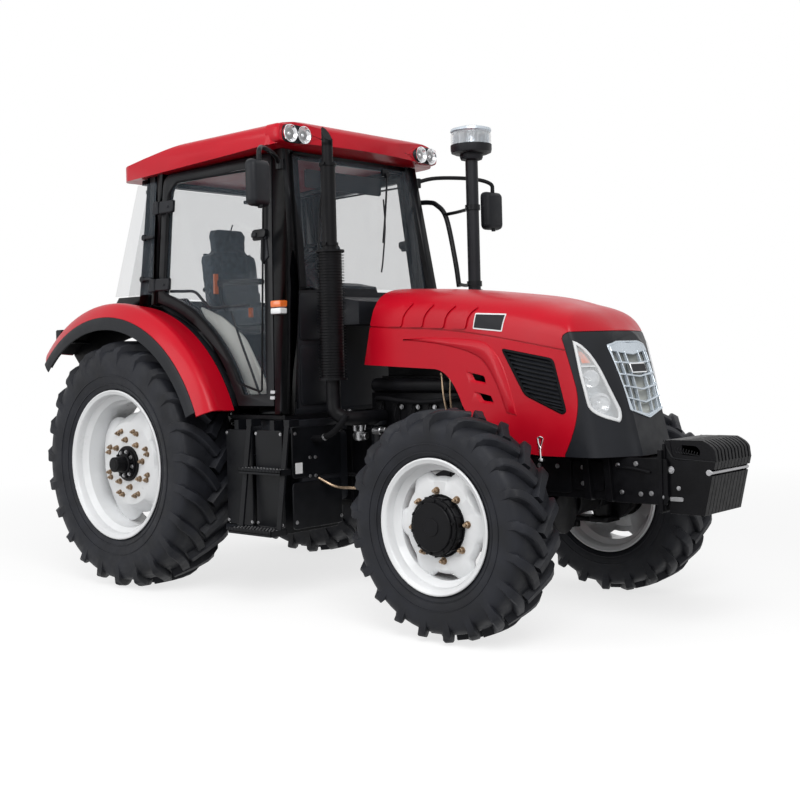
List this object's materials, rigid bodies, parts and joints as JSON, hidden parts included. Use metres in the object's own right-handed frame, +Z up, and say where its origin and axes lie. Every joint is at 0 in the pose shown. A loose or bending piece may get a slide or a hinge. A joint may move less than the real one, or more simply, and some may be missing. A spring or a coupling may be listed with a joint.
{
  "type": "farm tractor",
  "caption": "Four-wheel-drive farm tractor with a glazed cab, sloping hood, front weights and a rear three-point linkage, on lugged tyres.",
  "frame": {"origin": "on the ground, under the middle of the overall length and width", "axes": "+X forward, +Y to the driver's left, +Z up"},
  "size_m": [4.5378, 2.182, 2.752],
  "materials": {
    "body_red": "glossy crimson paint",
    "frame_black": "satin black paint",
    "cast_black": "black painted casting",
    "plastic_black": "fine-grained black plastic",
    "rim_white": "satin white paint",
    "tyre": "black rubber tread",
    "rubber_black": "matt rubber",
    "glass": "clear safety glass",
    "lamp_lens": "clear lamp lens",
    "grille_silver": "silver-grey metallic plastic",
    "seat_fabric": "dark blue-grey woven cover",
    "trim_grey": "grey moulded trim",
    "steel": "zinc-plated fittings",
    "chrome": "chromed trim",
    "bronze_nuts": "yellow-passivated nuts",
    "amber_lens": "amber lens",
    "red_lens": "red lens",
    "mirror_face": "mirror glass"
  },
  "bodies": {
    "chassis": {"engine_block": "cast_black", "radiator": "frame_black", "front_frame": "cast_black", "transmission_case": "cast_black", "rear_axle": "cast_black", "front_axle_beam": "cast_black", "front_weights": "cast_black", "fuel_tank": "plastic_black", "battery_box": "plastic_black", "cab_tub": "plastic_black", "cab_frame": "frame_black", "roof": "body_red", "windshield": "glass", "rear_window": "glass", "quarter_window_right": "glass", "quarter_window_left": "glass", "steering_console": "plastic_black", "seat_base": "plastic_black", "seat_cushion": "seat_fabric", "seat_back": "seat_fabric", "fender_right": "body_red", "fender_left": "body_red", "fender_lip_right": "rubber_black", "fender_lip_left": "rubber_black", "exhaust": "frame_black", "air_intake": "plastic_black", "mirror_right": "plastic_black", "mirror_left": "plastic_black", "drawbar": "cast_black", "top_link": "cast_black"},
    "hood": {"hood_shell": "body_red", "nose_fascia": "plastic_black", "grille": "grille_silver", "headlight_right": "lamp_lens", "headlight_left": "lamp_lens"},
    "door_right_body": {"door_right": "frame_black", "door_glass_right": "glass"},
    "door_left_body": {"door_left": "frame_black", "door_glass_left": "glass"},
    "knuckle_right_body": {"knuckle_right": "cast_black"},
    "knuckle_left_body": {"knuckle_left": "cast_black"},
    "tie_rod_body": {"tie_rod": "cast_black"},
    "front_wheel_right": {"front_rim_right": "rim_white", "front_tyre_right": "tyre"},
    "front_wheel_left": {"front_rim_left": "rim_white", "front_tyre_left": "tyre"},
    "rear_wheel_right": {"rear_rim_right": "rim_white", "rear_tyre_right": "tyre"},
    "rear_wheel_left": {"rear_rim_left": "rim_white", "rear_tyre_left": "tyre"},
    "lift_arms_body": {"lift_arms": "cast_black"},
    "lower_link_right_body": {"lower_link_right": "cast_black"},
    "lower_link_left_body": {"lower_link_left": "cast_black"},
    "lift_rod_right_body": {"lift_rod_right": "cast_black"},
    "lift_rod_left_body": {"lift_rod_left": "cast_black"}
  },
  "joints": [
    {"name": "rear_wheel_right_spin", "type": "hinge", "parent": "chassis", "child": "rear_wheel_right", "pos_m": [-1.31608, -0.764, 0.755], "axis": [0, 1, 0], "continuous": true},
    {"name": "rear_wheel_left_spin", "type": "hinge", "parent": "chassis", "child": "rear_wheel_left", "pos_m": [-1.31608, 0.764, 0.755], "axis": [0, 1, 0], "continuous": true},
    {"name": "steer_left", "type": "hinge", "parent": "chassis", "child": "knuckle_left_body", "pos_m": [1.16492, 0.6, 0.558], "axis": [0, 0, 1], "range_deg": [-30, 30]},
    {"name": "steer_right", "type": "hinge", "parent": "chassis", "child": "knuckle_right_body", "pos_m": [1.16492, -0.6, 0.558], "axis": [0, 0, 1], "range_deg": [-30, 30]},
    {"name": "tie_rod_slide", "type": "slide", "parent": "chassis", "child": "tie_rod_body", "axis": [0, 1, 0], "range_m": [-0.09, 0.09]},
    {"name": "front_wheel_right_spin", "type": "hinge", "parent": "knuckle_right_body", "child": "front_wheel_right", "pos_m": [1.16492, -0.76, 0.558], "axis": [0, 1, 0], "continuous": true},
    {"name": "front_wheel_left_spin", "type": "hinge", "parent": "knuckle_left_body", "child": "front_wheel_left", "pos_m": [1.16492, 0.76, 0.558], "axis": [0, 1, 0], "continuous": true},
    {"name": "hood_hinge", "type": "hinge", "parent": "chassis", "child": "hood", "pos_m": [0.29492, 0, 1.668], "axis": [0, -1, 0], "range_deg": [0, 50]},
    {"name": "door_right_hinge", "type": "hinge", "parent": "chassis", "child": "door_right_body", "pos_m": [-1.16908, -0.72104, 2.086], "axis": [0, -0.0859, -0.9963], "range_deg": [0, 70]},
    {"name": "door_left_hinge", "type": "hinge", "parent": "chassis", "child": "door_left_body", "pos_m": [-1.16908, 0.72104, 2.086], "axis": [0, -0.0859, 0.9963], "range_deg": [0, 70]},
    {"name": "hitch_lift", "type": "hinge", "parent": "chassis", "child": "lift_arms_body", "pos_m": [-1.47508, 0, 1.06], "axis": [0, 1, 0], "range_deg": [-25, 40]},
    {"name": "lower_link_right_pivot", "type": "hinge", "parent": "chassis", "child": "lower_link_right_body", "pos_m": [-1.44508, -0.262, 0.43], "axis": [0, 1, 0], "range_deg": [-20, 31]},
    {"name": "lower_link_left_pivot", "type": "hinge", "parent": "chassis", "child": "lower_link_left_body", "pos_m": [-1.44508, 0.262, 0.43], "axis": [0, 1, 0], "range_deg": [-20, 31]},
    {"name": "lift_rod_right_pivot", "type": "hinge", "parent": "lift_arms_body", "child": "lift_rod_right_body", "pos_m": [-1.79787, -0.364, 1.12861], "axis": [0, 1, 0], "range_deg": [-39, 25]},
    {"name": "lift_rod_left_pivot", "type": "hinge", "parent": "lift_arms_body", "child": "lift_rod_left_body", "pos_m": [-1.79787, 0.364, 1.12861], "axis": [0, 1, 0], "range_deg": [-39, 25]}
  ],
  "couplings": [
    {"joint": "steer_right", "follows": "steer_left", "ratio": 1},
    {"joint": "tie_rod_slide", "follows": "steer_left", "m_per_rad": -0.1576},
    {"joint": "lower_link_right_pivot", "follows": "hitch_lift", "ratio": 0.75},
    {"joint": "lower_link_left_pivot", "follows": "hitch_lift", "ratio": 0.75},
    {"joint": "lift_rod_right_pivot", "follows": "hitch_lift", "ratio": -0.95},
    {"joint": "lift_rod_left_pivot", "follows": "hitch_lift", "ratio": -0.95}
  ]
}
